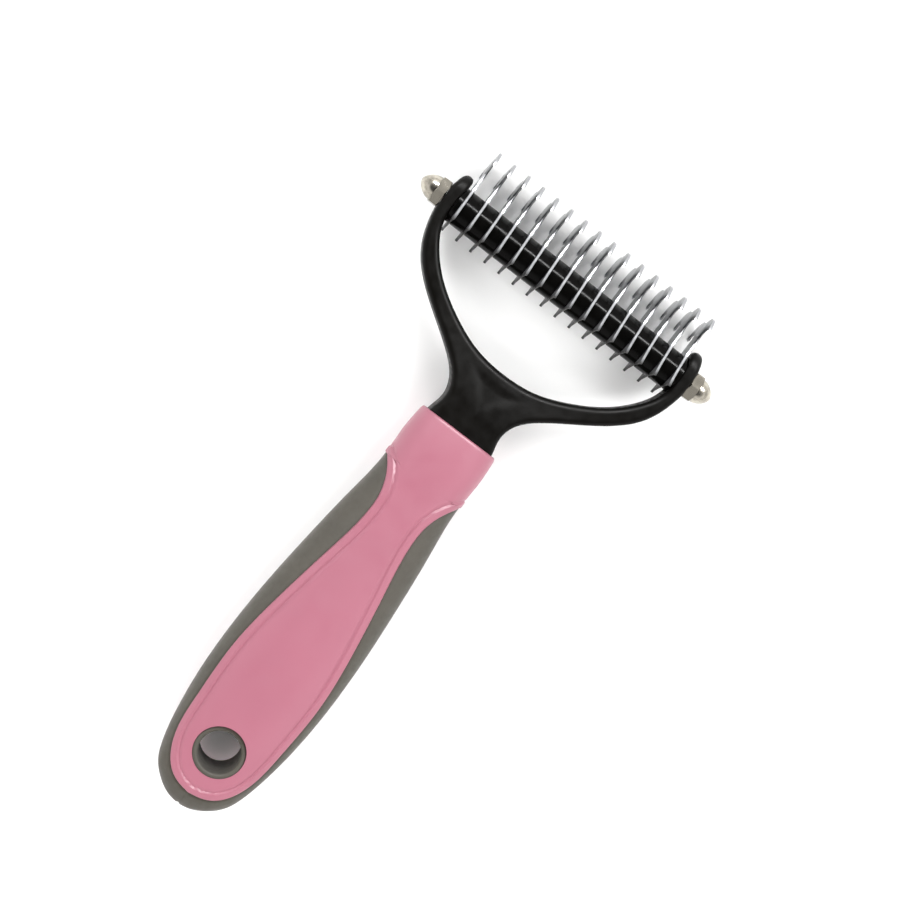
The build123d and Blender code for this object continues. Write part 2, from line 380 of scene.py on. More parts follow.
def blade_steel():
    """Ground stainless plate with fine lines along the blade; the spurs below the bar are painted near
    black and not metallic, as painted shade.
    """
    steel = (0.33, 0.335, 0.345)
    # painted shade: near black for the spurs that lie in the bar's shade
    painted_shade_black = (0.012, 0.0115, 0.011)
    look = Shader("blade_steel", steel, 0.34, metallic=1.0)
    ramp = look.colours(look.noise(420, 4, (1, 0.25, 1)), shade(steel, 0.86), shade(steel, 1.08))
    height = look.node("ShaderNodeSeparateXYZ")
    look.link(look.place, height.inputs["Vector"])
    blend = look.node("ShaderNodeMix", data_type="RGBA")
    # painted shade mask: 0 low on the blade, 1 above the shaded part
    unshaded = look.between(height.outputs["Y"], 0, 1, DARK_BELOW_Y * MM, UNSHADED_ABOVE_Y * MM)
    look.link(unshaded, blend.inputs["Factor"])
    look.link(unshaded, look.surface.inputs["Metallic"])
    look.surface.inputs["Specular IOR Level"].default_value = 0.15
    blend.inputs["A"].default_value = (*painted_shade_black, 1)
    look.link(ramp.outputs["Color"], blend.inputs["B"])
    look.link(blend.outputs["Result"], look.surface.inputs["Base Color"])
    look.roughness(look.noise(600, 4, (1, 0.15, 1)), 0.26, 0.44)
    look.bump(look.noise(5200, 2, (1, 0.03, 1)), 0.006)
    return look.material


def shaded_ground_edge():
    """The bevelled cutting edge inside a hook, painted darker as painted shade under the claw."""
    # painted shade: dark steel for the underside of the hook
    steel = (0.115, 0.12, 0.125)
    look = Shader("shaded_ground_edge", steel, 0.3, metallic=1.0)
    look.colours(look.noise(900, 3), shade(steel, 0.6), shade(steel, 1.5))
    look.bump(look.noise(6000, 2, (1, 1, 0.1)), 0.006)
    return look.material


def nickel():
    """Slightly warm nickel plate with turning rings round the dome; the hexagon is painted darker, as
    painted shade, and the mottled colour is partly random tone and partly painted reflection.
    """
    metal = (0.44, 0.41, 0.35)
    look = Shader("nickel", metal, 0.2, metallic=1.0)
    # mottle of dark and light patches: partly random tone, partly painted reflection
    ramp = look.colours(look.noise(420, 3), shade(metal, 0.55), shade(metal, 1.25))
    along = look.node("ShaderNodeSeparateXYZ")
    look.link(look.place, along.inputs["Vector"])
    outward = look.node("ShaderNodeMath", operation="ABSOLUTE")
    look.link(along.outputs["X"], outward.inputs[0])
    hex_end = (NUT_SEAT_X + NUT_HEX_HEIGHT) * MM
    # painted shade: the hexagon gets half the dome's colour
    blend = look.node("ShaderNodeMix", data_type="RGBA")
    on_dome = look.between(outward.outputs["Value"], 0, 1, hex_end, hex_end + 0.3 * MM)
    look.link(on_dome, blend.inputs["Factor"])
    blend.inputs["A"].default_value = (*shade(metal, 0.5), 1)
    look.link(ramp.outputs["Color"], blend.inputs["B"])
    look.link(blend.outputs["Result"], look.surface.inputs["Base Color"])
    look.roughness(look.noise(500, 4), 0.14, 0.30)
    look.bump(look.noise(2400, 2, (3, 0.1, 0.1)), 0.006)
    return look.material


def axle_steel():
    """Turned steel of the rod inside the pack."""
    steel = (0.45, 0.45, 0.46)
    look = Shader("axle_steel", steel, 0.35, metallic=1.0)
    look.colours(look.noise(500, 3), shade(steel, 0.85), shade(steel, 1.1))
    look.bump(look.noise(3000, 2, (3, 0.1, 0.1)), 0.006)
    return look.material


def floor_surface():
    """Plain pale paper."""
    paper = (0.93, 0.93, 0.925)
    look = Shader("floor", paper, 0.9)
    look.surface.inputs["Specular IOR Level"].default_value = 0.1
    look.colours(look.noise(6, 2), shade(paper, 0.99), shade(paper, 1.01))
    return look.material


# ------------------------------------------------------------------ handle
ROW_STEP = 0.45
# Distances inwards from the seam of the columns that draw the panel's rim
RIM_OFFSETS = [0, 0.12, 0.25, 0.4, 0.6, 0.9, 1.3, 1.7, 2.0, 2.2, 2.4, 2.6, 2.8, 3.1, 3.5, 4.1]
RIM_SHARE = 0.7        # the most of a narrow panel that its rim's columns may take
CENTRE_COLUMNS = 30
SIDE_COLUMNS = 26
SECTION_SAMPLES = 600
NO_PANEL_EDGE = 99     # wider than any section, where the hard core goes all the way round
SKIN = 1.0
SKIN_SLOPE = 0.8
HIDDEN_INSET = 1.15
HIDDEN_SLOPE = 0.6
SEAM_DEPTH = 0.28
SEAM_SLOPE = 0.7
LIP_WIDTH = 0.55
RIM_HEIGHT = 0.38
RIM_RISE = 0.5
RIM_WIDTH = 2.1
RIM_FALL = 0.55
GROOVE_DEPTH = 0.20
GROOVE_WIDTH = 0.28
SECOND_LINE = 0.07
SECOND_LINE_OFFSET = 1.5
SECOND_LINE_WIDTH = 0.3
COLLAR_ROUNDING = 0.7
COLLAR_STEPS = 6
MOUTH_HALF_WIDTH = 9.46
MOUTH_HALF_DEPTH = 5.2
LIP_STEPS = 8


def handle_rows():
    """Rows of (distance below the axle, half width, half thickness) down to the rounded end."""
    past_end = [(below, -wide, -thick) for below, wide, thick in HANDLE_STATIONS[-2:-5:-1]]
    line = spline_through(HANDLE_STATIONS + past_end, 6000)
    line = line[:np.argmax(line[:, 1] < 0)]
    line[-1] = (HANDLE_END, 0, 0)
    length = np.linalg.norm(np.diff(line, axis=0), axis=1).sum()
    return resample(line, int(length / ROW_STEP))


def panel_edge_line():
    """Half width of the hard panel against distance below the axle."""
    past_end = [(-wide, below) for wide, below in PANEL_EDGE[:-4:-1]]
    line = spline_through(PANEL_EDGE + [(0, PANEL_END)] + past_end, 3000)
    line = line[:np.argmax(line[:, 0] < 0)]
    line[-1] = (0, PANEL_END)
    return line


def section_quarter(wide, thick):
    """Front right quarter of a section, from the side to the crest, as (x, z) samples."""
    power = 2 / SECTION_SQUARENESS
    angle = np.linspace(0, pi / 2, SECTION_SAMPLES)
    return np.stack([wide * np.cos(angle) ** power, thick * np.sin(angle) ** power], axis=1)


def split_section(wide, thick, panel):
    """Side and panel stretches of a section's front right quarter, split at the panel's edge."""
    quarter = section_quarter(wide, thick)
    length = np.concatenate([[0], np.cumsum(np.linalg.norm(np.diff(quarter, axis=0), axis=1))])
    seam = np.interp(-min(panel, wide), -quarter[:, 0], length)
    side = np.linspace(0, seam, SIDE_COLUMNS)
    room = length[-1] - seam
    offsets = np.array(RIM_OFFSETS) * min(1.0, RIM_SHARE * room / RIM_OFFSETS[-1])
    rest = np.linspace(offsets[-1], room, CENTRE_COLUMNS)[1:]
    inward = seam + np.concatenate([offsets, rest])

    def at(places):
        return np.stack([np.interp(places, length, quarter[:, k]) for k in (0, 1)], axis=1)
    return at(side), at(inward)


def full_ring(quarter):
    """A whole section from its front right quarter, which runs from the side to the crest."""
    left = quarter[::-1][1:] * (-1, 1)
    front = np.concatenate([quarter, left])
    back = front[::-1][1:-1] * (1, -1)
    return np.concatenate([front, back])


def handle_grid():
    """The handle's surface as rows of rings, with the panel's half width at each row."""
    edge = panel_edge_line()
    rings, seams = [], []
    rows = handle_rows()
    for below, wide, thick in rows:
        panel = np.interp(below, edge[:, 1], edge[:, 0], left=NO_PANEL_EDGE, right=0)
        side, inward = split_section(wide, thick, panel)
        ring = full_ring(np.concatenate([side, inward[1:]]))
        rings.append(np.column_stack([ring[:, 0], np.full(len(ring), -below), ring[:, 1]]))
        if panel < wide:
            seams.append((side[-1][0], -below, side[-1][1]))
    return np.array(rings), np.array(seams), rows


def grid_normals(rings):
    """Outward normals of a closed grid of rings; merged columns take their nearest sound neighbour's."""
    along = np.gradient(rings, axis=0)
    around = np.roll(rings, -1, axis=1) - np.roll(rings, 1, axis=1)
    normal = np.cross(around, along)
    normal[-1] = (0, -1, 0)
    size = np.linalg.norm(normal, axis=2, keepdims=True)
    normal /= np.maximum(size, 1e-9)
    for row, flat in enumerate(size[:, :, 0] < 1e-6):
        if flat.any():
            sound, merged = np.flatnonzero(~flat), np.flatnonzero(flat)
            nearest = np.abs(sound[None, :] - merged[:, None]).argmin(axis=1)
            normal[row, merged] = normal[row, sound[nearest]]
    return normal


def seam_distance(rings, seams):
    """Distance of every grid point from the four mirrored seam lines."""
    dense = resample(np.concatenate([seams, [(0, -PANEL_END, seams[-1][2])]]), 1500)
    flat = np.abs(rings.reshape(-1, 3)) * (1, -1, 1)
    return distance_to(flat, dense).reshape(rings.shape[:2])


def panel_mask(columns):
    """True for the ring's columns that lie on the front or back panel."""
    quarter = SIDE_COLUMNS - 1
    crest = len(RIM_OFFSETS) + CENTRE_COLUMNS - 1
    half = 2 * (quarter + crest - 1)
    mask = np.zeros(columns, bool)
    mask[quarter:half - quarter + 1] = True
    mask[half + quarter:columns - quarter + 1] = True
    return mask


def rim_relief(distance):
    """Height of the panel: rounded lip, raised rim, then a fine groove and a faint second line."""
    lip_part = np.clip(distance / LIP_WIDTH, 0, 1)
    lip = -SEAM_DEPTH * (1 - np.sqrt(np.clip(1 - (1 - lip_part) ** 2, 0, 1)))
    rise = smooth_step(distance, 0, RIM_RISE)
    fall = smooth_step(distance, RIM_WIDTH, RIM_WIDTH + RIM_FALL)
    groove = GROOVE_DEPTH * np.exp(-((distance - RIM_WIDTH - RIM_FALL) / GROOVE_WIDTH) ** 2)
    second = SECOND_LINE * np.exp(-((distance - RIM_WIDTH - SECOND_LINE_OFFSET) / SECOND_LINE_WIDTH) ** 2)
    return lip + RIM_HEIGHT * (rise - fall) - groove + second


def collar_mouth(first_ring):
    """Rings that round the collar's edge and run in to the yoke's neck, innermost first."""
    rings = []
    for step in range(COLLAR_STEPS):
        angle = step / COLLAR_STEPS * pi / 2
        inset = COLLAR_ROUNDING * (1 - sin(angle))
        ring = first_ring.copy()
        scale = 1 - inset / np.linalg.norm(ring[:, (0, 2)], axis=1, keepdims=True)
        ring[:, (0, 2)] *= scale
        ring[:, 1] = COLLAR_Y - COLLAR_ROUNDING * (1 - cos(angle))
        rings.append(ring)
    _, collar_half_width, collar_half_depth = HANDLE_STATIONS[0]
    inner = first_ring.copy()
    inner[:, 0] *= MOUTH_HALF_WIDTH / collar_half_width
    inner[:, 2] *= MOUTH_HALF_DEPTH / collar_half_depth
    inner[:, 1] = COLLAR_Y
    deep = inner.copy()
    deep[:, 1] = NECK_END_Y
    return np.array([deep * (0, 1, 0), deep, inner] + rings)


def build_handle():
    """Hard core with its rimmed panels, and the soft grip round it."""
    rings, seams, rows = handle_grid()
    normals = grid_normals(rings)
    distance = seam_distance(rings, seams)
    on_panel = panel_mask(rings.shape[1])
    panel_rows = rows[:, 0] < PANEL_END
    hard = on_panel[None, :] & panel_rows[:, None]
    collar = rows[:, 0] < -seams[0][1]
    hard |= collar[:, None]

    hidden = -SEAM_DEPTH - HIDDEN_INSET * smooth_step(distance, 0, HIDDEN_SLOPE)
    relief = np.where(hard, rim_relief(distance), hidden)
    core_rings = rings + normals * relief[:, :, None]
    start = int(np.argmax(rows[:, 0] > -COLLAR_Y + COLLAR_ROUNDING + 0.05))
    mouth = collar_mouth(rings[0])
    core_rings = np.concatenate([mouth, core_rings[start:]])
    core_faces = grid_faces(*core_rings.shape[:2], wrap=True)
    core = make_object("handle_core_shell", core_rings.reshape(-1, 3), core_faces)

    soft_relief = -SEAM_DEPTH * (1 - smooth_step(distance, 0, SEAM_SLOPE))
    outer = rings + normals * soft_relief[:, :, None]
    inner = outer - normals * SKIN * smooth_step(distance, 0, SKIN_SLOPE)[:, :, None]
    grip = build_grip(outer, inner, rows, -seams[0][1])
    return core, grip


def build_grip(outer, inner, rows, top):
    """Closed skin over the sides and the end, left open where the panels are."""
    start = int(np.argmax(rows[:, 0] >= top)) - 1
    columns = outer.shape[1]
    stop_row = int(np.argmax(rows[:, 0] >= PANEL_END))
    on_panel = panel_mask(columns)
    size = outer.shape[0] * columns
    points = np.concatenate([outer.reshape(-1, 3), inner.reshape(-1, 3)])
    faces = []
    for i in range(start, outer.shape[0] - 1):
        for j in range(columns):
            k = (j + 1) % columns
            if on_panel[j] and on_panel[k] and i < stop_row:
                continue
            here, there = i * columns, (i + 1) * columns
            a, b, c, d = here + j, here + k, there + k, there + j
            faces.append((a, b, c, d))
            faces.append((size + d, size + c, size + b, size + a))
    edges = {}
    for face in faces:
        for p, q in zip(face, face[1:] + face[:1]):
            edges[(p, q)] = True
    rims = [(p, q) for p, q in edges if (q, p) not in edges and p < size]
    faces += [(q, p, p + size, q + size) for p, q in rims]
    return make_object("soft_grip_skin", *used_only(points, faces), merge=FINE_MERGE_DISTANCE)


def used_only(points, faces):
    """Drops the points that no face uses."""
    used = sorted({index for face in faces for index in face})
    new_index = {old: new for new, old in enumerate(used)}
    return points[used], [tuple(new_index[index] for index in face) for face in faces]


def build_eyelet():
    """Soft ring of the hanging hole: a rounded lip at each face and a straight bore."""
    middle = (HOLE_RADIUS + EYELET_RADIUS) / 2
    reach = (EYELET_RADIUS - HOLE_RADIUS) / 2
    lip = []
    for step in range(LIP_STEPS + 1):
        angle = pi * step / LIP_STEPS
        lip.append((middle - reach * cos(angle), EYELET_HALF_LENGTH - reach + reach * sin(angle)))
    profile = lip + [(r, -z) for r, z in reversed(lip)]
    profile.append(profile[0])
    points = []
    sides = 96
    for radius, z in profile:
        for k in range(sides):
            angle = 2 * pi * k / sides
            points.append((radius * cos(angle), HOLE_Y + radius * sin(angle), z))
    return make_object("hang_eyelet_ring", points, grid_faces(len(profile), sides, wrap=True))


# ------------------------------------------------------------------ yoke
YOKE_ROUNDING = 1.5
MOST_ROUNDING = 0.8    # the largest share of the half depth that an edge's rounding may take
YOKE_SHARP_ANGLE = 50
ARM_ROWS = 110
ARM_EASE = 0.35        # how much the rows crowd together towards the arms' ends
WEB_ROWS = 70
ACROSS = [0, 0.01, 0.03, 0.06, 0.1, 0.15, 0.21, 0.28, 0.36, 0.44, 0.5,
          0.56, 0.64, 0.72, 0.79, 0.85, 0.9, 0.94, 0.97, 0.99, 1]
TAB_ROUNDING = 1.9
MEETING_SHARE = 0.635  # how far along its outside the fork is level with the inside's lowest point
NECK_THICK_BELOW_Y = COLLAR_Y + 7
NECK_THIN_ABOVE_Y = YOKE_APEX[1] + 6
RECESS_POINT_Y = -43.0
RECESS_SPREAD = 0.78
RECESS_MARGIN = 2.6
RECESS_SLOPE = 3.0
RECESS_DEPTH = 0.3


def yoke_depth(y):
    """Half depth of the fork at a height: round arm ends and a thicker neck."""
    tip = ARM_TOP_Y - ARM_HALF_DEPTH
    round_end = np.sqrt(np.clip(ARM_HALF_DEPTH ** 2 - np.clip(y - tip, 0, None) ** 2, 0, None))
    neck = NECK_HALF_DEPTH - ARM_HALF_DEPTH
    return round_end + neck * (1 - smooth_step(y, NECK_THICK_BELOW_Y, NECK_THIN_ABOVE_Y))


def web_recess(flat, gap):
    """Depth of the shallow moulded V in the web, where the arms flow into the neck."""
    rise = flat[:, 1] - RECESS_POINT_Y
    from_sides = (RECESS_SPREAD * rise - np.abs(flat[:, 0])) / sqrt(1 + RECESS_SPREAD ** 2)
    room = np.minimum(from_sides, gap - RECESS_MARGIN)
    return RECESS_DEPTH * smooth_step(room, 0, RECESS_SLOPE)


def yoke_plan():
    """Right half of the fork seen from the front: rows of points from its inside to its outside."""
    outside = spline_through(YOKE_OUTSIDE, 3000)
    inside_all = spline_through(YOKE_INSIDE + [YOKE_APEX] + [(-x, y) for x, y in YOKE_INSIDE[::-1]], 6000)
    inside = inside_all[:np.argmax(inside_all[:, 0] < 0)]
    inside[-1] = YOKE_APEX
    ease = 1 - np.cos(np.linspace(0, pi / 2, ARM_ROWS))
    early = ARM_EASE * ease + (1 - ARM_EASE) * np.linspace(0, 1, ARM_ROWS)
    late = np.linspace(0, 1, WEB_ROWS)[1:]
    inner_rows = np.concatenate([
        resample(inside, ARM_ROWS, early),
        resample([YOKE_APEX, (0, NECK_END_Y)], WEB_ROWS - 1, late)])
    outer_rows = resample(outside, ARM_ROWS + WEB_ROWS - 1, np.concatenate([
        early * MEETING_SHARE, MEETING_SHARE + late * (1 - MEETING_SHARE)]))
    border = np.concatenate([resample(outside, 900), resample(inside, 700)])

    across = np.array(ACROSS)[None, :, None]
    plan = inner_rows[:, None, :] * (1 - across) + outer_rows[:, None, :] * across
    middle = plan.mean(axis=1, keepdims=True)
    near_top = np.clip((plan[:, :, 1:] - (ARM_TOP_Y - TAB_ROUNDING)) / TAB_ROUNDING, 0, 1)
    narrow = np.sqrt(np.clip(1 - near_top ** 2, 0, 1))
    plan[:, :, :1] = middle[:, :, :1] + (plan[:, :, :1] - middle[:, :, :1]) * narrow
    return plan, border


def yoke_height(flat, border):
    """Height of the front face over each point of the plan, rounded off towards the border."""
    gap = distance_to(flat, border)
    depth = yoke_depth(flat[:, 1])
    rounding = np.minimum(YOKE_ROUNDING, MOST_ROUNDING * depth + 1e-6)
    short = np.clip(rounding - gap, 0, rounding)
    rounded = depth - rounding + np.sqrt(np.clip(rounding ** 2 - short ** 2, 0, None))
    return rounded - web_recess(flat, gap)


def yoke_faces(rows, columns):
    """Faces of the right half: front, back, the outside and inside walls, and the neck's end."""
    size = rows * columns
    front = grid_faces(rows, columns, wrap=False)
    faces = front + [tuple(size + index for index in face[::-1]) for face in front]
    for i in range(rows - 1):
        a, b = i * columns + columns - 1, (i + 1) * columns + columns - 1
        faces.append((a, a + size, b + size, b))
        if i < ARM_ROWS - 1:
            a, b = i * columns, (i + 1) * columns
            faces.append((b, b + size, a + size, a))
    foot = list(range(size - columns, size))
    faces.append(tuple(foot + [index + size for index in reversed(foot)]))
    return faces


def build_yoke():
    """Fork with rounded edges, mirrored about the middle, with the seats and bore for the pack."""
    plan, border = yoke_plan()
    flat = plan.reshape(-1, 2)
    height = yoke_height(flat, border)
    points = np.concatenate([np.column_stack([flat, height]), np.column_stack([flat, -height])])
    faces = yoke_faces(*plan.shape[:2])
    other = points * (-1, 1, 1)
    faces += [tuple(len(points) + index for index in reversed(face)) for face in faces]
    yoke = make_object("yoke_fork", np.concatenate([points, other]), faces, YOKE_SHARP_ANGLE)
    boss = cylinder("boss_cut", BOSS_FACE_RADIUS, -ARM_INNER_X, ARM_INNER_X)
    cut(yoke, boss, YOKE_SHARP_ANGLE)
    for side in (-1, 1):
        ends = sorted((side * ARM_OUTER_X, side * (NUT_TIP_X + 1)))
        cut(yoke, cylinder("seat_cut", NUT_FACE_RADIUS, *ends), YOKE_SHARP_ANGLE)
    bore = cylinder("bore_cut", YOKE_BORE_RADIUS, -NUT_TIP_X - 2, NUT_TIP_X + 2)
    cut(yoke, bore, YOKE_SHARP_ANGLE)
    return yoke


# ------------------------------------------------------------------ blade pack
# A blade's points are (z, y) before it leans; its outline is the same on both sides.
BLADE_LEAN = radians(10)
NECK_Z = 3.8
NECK_FOOT_Y = 5.2
NECK_HEAD_Y = 10.6
SPUR = (9.2, -6.0)
SPUR_FLANK = (6.0, -0.6)
LOWER_EDGE_Y = -5.3
HOOK_TIP = (10.0, 12.0)
HOOK_HOLLOW = (6.4, 13.4)
HOOK_BACK = (7.8, 16.2)
HORN = (3.4, 17.6)
HORN_FRONT = (HORN[0] + 0.5, HORN[1] - 0.12)
HORN_BACK = (HORN[0] - 0.6, HORN[1] - 0.15)
TOP_NOTCH_Y = 16.7
EDGE_BEVEL = 0.13
HOOK_BEVEL = 1.15
SPUR_BEVEL = 0.5
WIDE_BEVEL = 0.4       # wider bevels than this run down to a thin cutting edge
CUTTING_EDGE_HALF = 0.08
EASED_EDGE_HALF = BLADE_THICKNESS / 2 - 0.1
GROUND_WIDTH = 0.7     # wider bevels than this get the darker edge material, which is painted shade
BLADE_SHARP_ANGLE = 18
HOLE_SIDES = 40
DARK_BELOW_Y = -4.4    # painted shade under the bar: the steel is painted dark below this height
UNSHADED_ABOVE_Y = -2.0    # and is left unshaded above this one


def arc_through(start, middle, end, count):
    """count points of the arc through three points, without its end."""
    (ax, ay), (bx, by), (cx, cy) = start, middle, end
    twice_area = 2 * (ax * (by - cy) + bx * (cy - ay) + cx * (ay - by))
    a, b, c = ax ** 2 + ay ** 2, bx ** 2 + by ** 2, cx ** 2 + cy ** 2
    ux = (a * (by - cy) + b * (cy - ay) + c * (ay - by)) / twice_area
    uy = (a * (cx - bx) + b * (ax - cx) + c * (bx - ax)) / twice_area
    radius = hypot(ax - ux, ay - uy)
    first = np.arctan2(ay - uy, ax - ux)
    last = np.arctan2(cy - uy, cx - ux)
    through = np.arctan2(by - uy, bx - ux)
    if not min(first, last) < through < max(first, last):
        if first < last:
            first += 2 * pi
        else:
            last += 2 * pi
    angles = np.linspace(first, last, count + 1)[:-1]
    return np.column_stack([ux + radius * np.cos(angles), uy + radius * np.sin(angles)])


def blade_outline():
    """Right half of the outline, bottom to top, with each point's bevel width."""
    lower_middle = (SPUR[0] / 2, LOWER_EDGE_Y + (SPUR[1] - LOWER_EDGE_Y) / 4)
    neck_foot, neck_head = (NECK_Z, NECK_FOOT_Y), (NECK_Z, NECK_HEAD_Y)
    parts = [
        (arc_through((0, LOWER_EDGE_Y), lower_middle, SPUR, 14), SPUR_BEVEL),
        (arc_through(SPUR, SPUR_FLANK, neck_foot, 18), EDGE_BEVEL),
        (np.linspace(neck_foot, neck_head, 6)[:-1], EDGE_BEVEL),
        (arc_through(neck_head, HOOK_HOLLOW, HOOK_TIP, 18), HOOK_BEVEL),
        (arc_through(HOOK_TIP, HOOK_BACK, HORN_FRONT, 16), EDGE_BEVEL),
        (arc_through(HORN_FRONT, HORN, HORN_BACK, 5), EDGE_BEVEL),
        (np.linspace(HORN_BACK, (0, TOP_NOTCH_Y), 6)[:-1], EDGE_BEVEL),
    ]
    points = np.concatenate([part for part, _ in parts])
    bevels = np.concatenate([np.full(len(part), bevel) for part, bevel in parts])
    return points, bevels


def inset_loop(loop, widths):
    """The loop moved inwards by each point's width.

    Close to a hook's tip, where the blade is narrower than the bevel, it crosses the loop by up to 0.45 mm.
    """
    ahead = np.roll(loop, -1, axis=0) - loop
    behind = loop - np.roll(loop, 1, axis=0)
    ahead /= np.linalg.norm(ahead, axis=1, keepdims=True)
    behind /= np.linalg.norm(behind, axis=1, keepdims=True)
    tangent = ahead + behind
    tangent /= np.maximum(np.linalg.norm(tangent, axis=1, keepdims=True), 1e-6)
    normal = np.column_stack([-tangent[:, 1], tangent[:, 0]])
    return loop + normal * widths[:, None]


def leaning_loop():
    """The whole outline, leaning back about the axle, with each point's bevel width."""
    half, bevels = blade_outline()
    top = np.array([(0, TOP_NOTCH_Y)])
    loop = np.concatenate([half, top, half[1:][::-1] * (-1, 1)])
    lean = np.array([(cos(BLADE_LEAN), sin(BLADE_LEAN)), (-sin(BLADE_LEAN), cos(BLADE_LEAN))])
    wide = np.concatenate([bevels, [EDGE_BEVEL], bevels[1:][::-1]])
    blend = np.ones(5) / 5
    wide = np.convolve(np.concatenate([wide[-2:], wide, wide[:2]]), blend, mode="valid")
    return loop @ lean, wide


def plate_face(inner, hole):
    """Points and triangles of the flat face inside the bevels, round the axle's hole."""
    count = len(inner)
    edges = [(k, (k + 1) % count) for k in range(count)]
    edges += [(count + k, count + (k + 1) % HOLE_SIDES) for k in range(HOLE_SIDES)]
    flat = [Vector(p) for p in inner] + [Vector(p) for p in hole]
    verts, _, triangles, _, _, _ = delaunay_2d_cdt(flat, edges, [], 1, 1e-5)
    verts = [tuple(v) for v in verts]

    def in_hole(face):
        middle = np.mean([verts[index] for index in face], axis=0)
        return hypot(*middle) < AXLE_HOLE_RADIUS * 0.98
    return verts, [tuple(face) for face in triangles if not in_hole(face)]


def blade_mesh(steel, edge_steel):
    """One blade's mesh about x = 0: flat faces, eased edges and ground cutting edges in the hooks."""
    loop, wide = leaning_loop()
    inner = inset_loop(loop, wide)
    count = len(loop)
    hole_angles = [2 * pi * k / HOLE_SIDES for k in range(HOLE_SIDES)]
    hole = [(AXLE_HOLE_RADIUS * cos(angle), AXLE_HOLE_RADIUS * sin(angle)) for angle in hole_angles]
    verts, triangles = plate_face(inner, hole)
    lip = np.where(wide > WIDE_BEVEL, CUTTING_EDGE_HALF, EASED_EDGE_HALF)
    thick = BLADE_THICKNESS / 2
    points, faces, slots = [], [], []
    for side in (-1, 1):
        base = len(points)
        points += [(side * thick, y, z) for z, y in verts]
        faces += [tuple(base + index for index in face) for face in triangles]
        slots += [0] * len(triangles)
        rim = len(points)
        points += [(side * thick, y, z) for z, y in inner]
        points += [(side * lip[k], y, z) for k, (z, y) in enumerate(loop)]
        for k in range(count):
            n = (k + 1) % count
            faces.append((rim + k, rim + n, rim + count + n, rim + count + k))
            slots.append(1 if wide[k] > GROUND_WIDTH else 0)
    second = len(points) - 2 * count
    first = len(points) // 2 - 2 * count
    for k in range(count):
        n = (k + 1) % count
        faces.append((first + count + k, first + count + n, second + count + n, second + count + k))
        slots.append(0)
    for k in range(HOLE_SIDES):
        n = (k + 1) % HOLE_SIDES
        start = len(points)
        for side in (-1, 1):
            points += [(side * thick, hole[k][1], hole[k][0]), (side * thick, hole[n][1], hole[n][0])]
        faces.append((start, start + 1, start + 3, start + 2))
        slots.append(0)
    mesh = bpy.data.meshes.new("blade_plate")
    mesh.from_pydata([tuple(Vector(p) * MM) for p in points], [], faces)
    mesh.materials.append(steel)
    mesh.materials.append(edge_steel)
    mesh.polygons.foreach_set("material_index", slots)
    work = bmesh.new()
    work.from_mesh(mesh)
    bmesh.ops.remove_doubles(work, verts=work.verts, dist=FINE_MERGE_DISTANCE * MM)
    bmesh.ops.recalc_face_normals(work, faces=work.faces)
    work.to_mesh(mesh)
    work.free()
    mesh.polygons.foreach_set("use_smooth", [True] * len(mesh.polygons))
    mesh.set_sharp_from_angle(angle=radians(BLADE_SHARP_ANGLE))
    return mesh


def node_middle_x(node):
    """The x of a CAD node's middle, in millimetres from the axle's centre."""
    low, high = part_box(node)
    return ((low[0] + high[0]) / 2 - AXLE.x) / MM


def build_blades(steel, edge_steel):
    """A piece for every blade node, all from one mesh."""
    mesh = blade_mesh(steel, edge_steel)
    for node in sorted(name for name in frame["nodes"] if name.startswith("blade_")):
        piece = bpy.data.objects.new(node.replace("blade", "comb_blade"), mesh)
        bpy.context.scene.collection.objects.link(piece)
        piece.location = AXLE + Vector((node_middle_x(node) * MM, 0, 0))
        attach(piece, PACK)
        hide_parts(node)


TUBE_EDGE_ROUNDING = 0.22
TUBE_SIDES = 72
NUT_SIDES = 96
NUT_CONE_LENGTH = 1.2
NUT_CHAMFER_SLOPE = 1.6
HEX_ROWS = 40
DOME_ROWS = 24
DOME_POINTEDNESS = 1.3


def build_tube(node, name, material):
    """A spacer or collar: a tube with rounded rims, as long as its CAD node."""
    low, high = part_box(node)
    start, end = (low[0] - AXLE.x) / MM, (high[0] - AXLE.x) / MM
    profile = [(start, AXLE_HOLE_RADIUS), (start, SPACER_RADIUS - TUBE_EDGE_ROUNDING)]
    for step in range(1, 5):
        angle = step / 4 * pi / 2
        x = start + TUBE_EDGE_ROUNDING * (1 - cos(angle))
        profile.append((x, SPACER_RADIUS - TUBE_EDGE_ROUNDING * (1 - sin(angle))))
    profile += [(start + end - x, radius) for x, radius in reversed(profile)]
    profile.append(profile[0])
    piece = turned(name, profile, TUBE_SIDES, sharp_angle=60)
    finish_piece(piece, PACK, "spacer_plastic", material, node)


def nut_profile(side):
    """The bore with its cone, then the hexagon's corner and the bullet-shaped dome."""
    hex_end = NUT_SEAT_X + NUT_HEX_HEIGHT
    rows = [
        (NUT_BORE_END_X, 0.0), (NUT_BORE_END_X - NUT_CONE_LENGTH, AXLE_HOLE_RADIUS),
        (NUT_SEAT_X, AXLE_HOLE_RADIUS),
    ]
    rows += [(x, NUT_ACROSS_FLATS / sqrt(3)) for x in np.linspace(NUT_SEAT_X, hex_end, HEX_ROWS)]
    for step in range(DOME_ROWS + 1):
        turn = step / DOME_ROWS * pi / 2
        x = hex_end + (NUT_TIP_X - hex_end) * sin(turn)
        rows.append((x, NUT_DOME_RADIUS * cos(turn) ** DOME_POINTEDNESS))
    return [(side * x, radius) for x, radius in rows]


